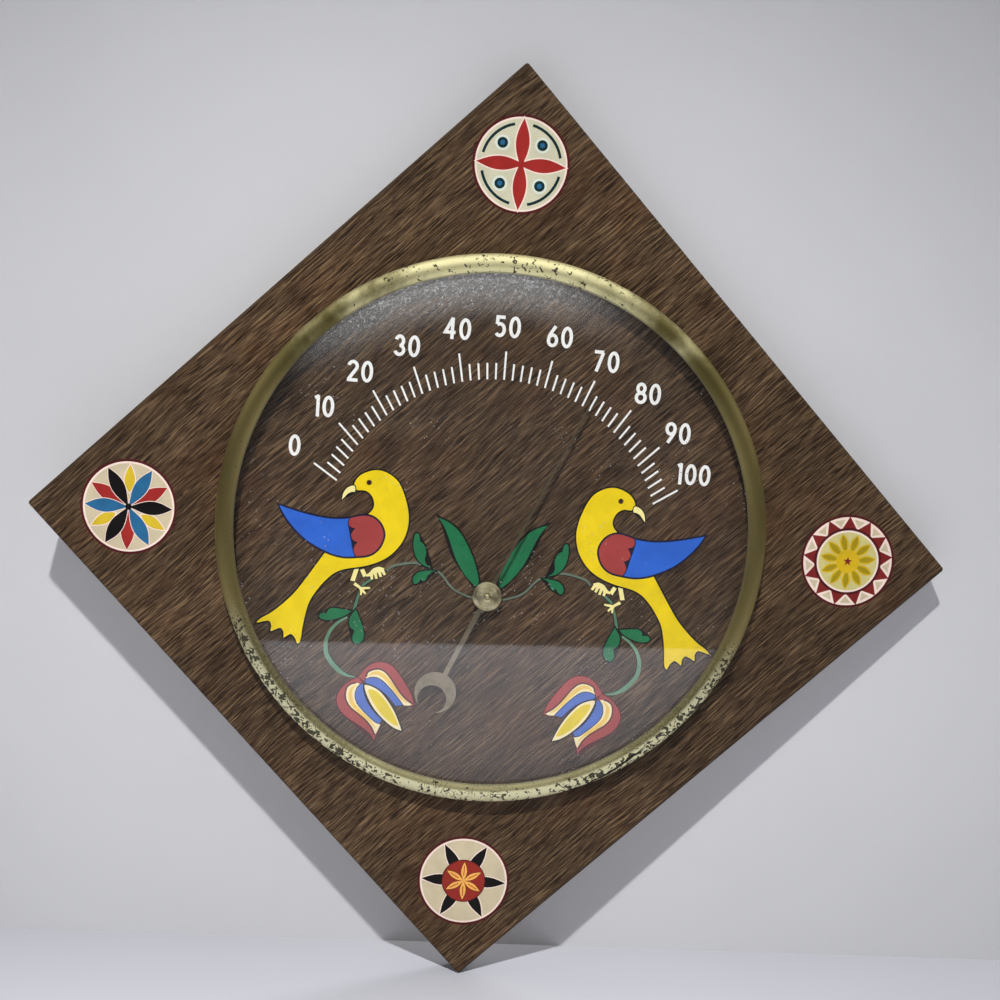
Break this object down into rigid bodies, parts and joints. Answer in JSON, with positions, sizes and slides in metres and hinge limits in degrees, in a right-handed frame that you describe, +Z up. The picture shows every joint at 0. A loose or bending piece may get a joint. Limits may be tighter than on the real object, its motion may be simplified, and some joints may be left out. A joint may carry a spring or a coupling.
{
  "type": "wall thermometer",
  "caption": "Square walnut-grain wall plaque hung by a corner, with a round glazed bimetal thermometer dial in a rolled brass bezel and a vented movement in its back.",
  "frame": {"origin": "on the wall's surface, where the hanging nail carries the middle notch of the hanger", "axes": "+Z up, +Y into the wall, so the face looks along -Y; +X is the viewer's right"},
  "size_m": [0.2866, 0.023, 0.2866],
  "materials": {
    "chipboard": "raw",
    "walnut": "satin",
    "black_plastic": "matte",
    "glass": "polished",
    "bezel_brass": "worn",
    "turned_brass": "turned",
    "plate_brass": "stamped",
    "pointer_metal": "satin",
    "bimetal": "rolled",
    "steel": "zinc plated",
    "cover_steel": "lacquered",
    "felt": "felt"
  },
  "bodies": {
    "root": {"board": "chipboard", "walnut_wrap": "walnut", "spacer_ring": "black_plastic", "lens": "glass", "bezel": "bezel_brass", "front_bushing": "turned_brass", "bushing_washer": "steel", "bushing_nut": "turned_brass", "movement_plate": "plate_brass", "pillars": "turned_brass", "rear_bridge": "plate_brass", "bridge_screws": "steel", "back_cover": "cover_steel", "cover_screws": "steel", "hanger": "steel", "hanger_nails": "turned_brass", "wall_bumpers": "felt"},
    "regulator_arm": {"regulator": "steel", "coil_stud": "turned_brass", "bimetal_coil": "bimetal"},
    "pointer_spindle": {"spindle": "turned_brass", "coil_collet": "turned_brass", "pointer_bush": "turned_brass", "pointer": "pointer_metal", "hub_button": "turned_brass"}
  },
  "joints": [
    {"name": "regulator_turn", "type": "hinge", "parent": "root", "child": "regulator_arm", "pos_m": [0, 0, -0.1163], "axis": [0, 1, 0], "range_deg": [-12, 12]},
    {"name": "pointer_turn", "type": "hinge", "parent": "regulator_arm", "child": "pointer_spindle", "pos_m": [0, 0, -0.1163], "axis": [0, 1, 0], "range_deg": [-104, 55], "stiffness_Nm_per_rad": 0.001, "deforming": ["bimetal_coil"]}
  ]
}
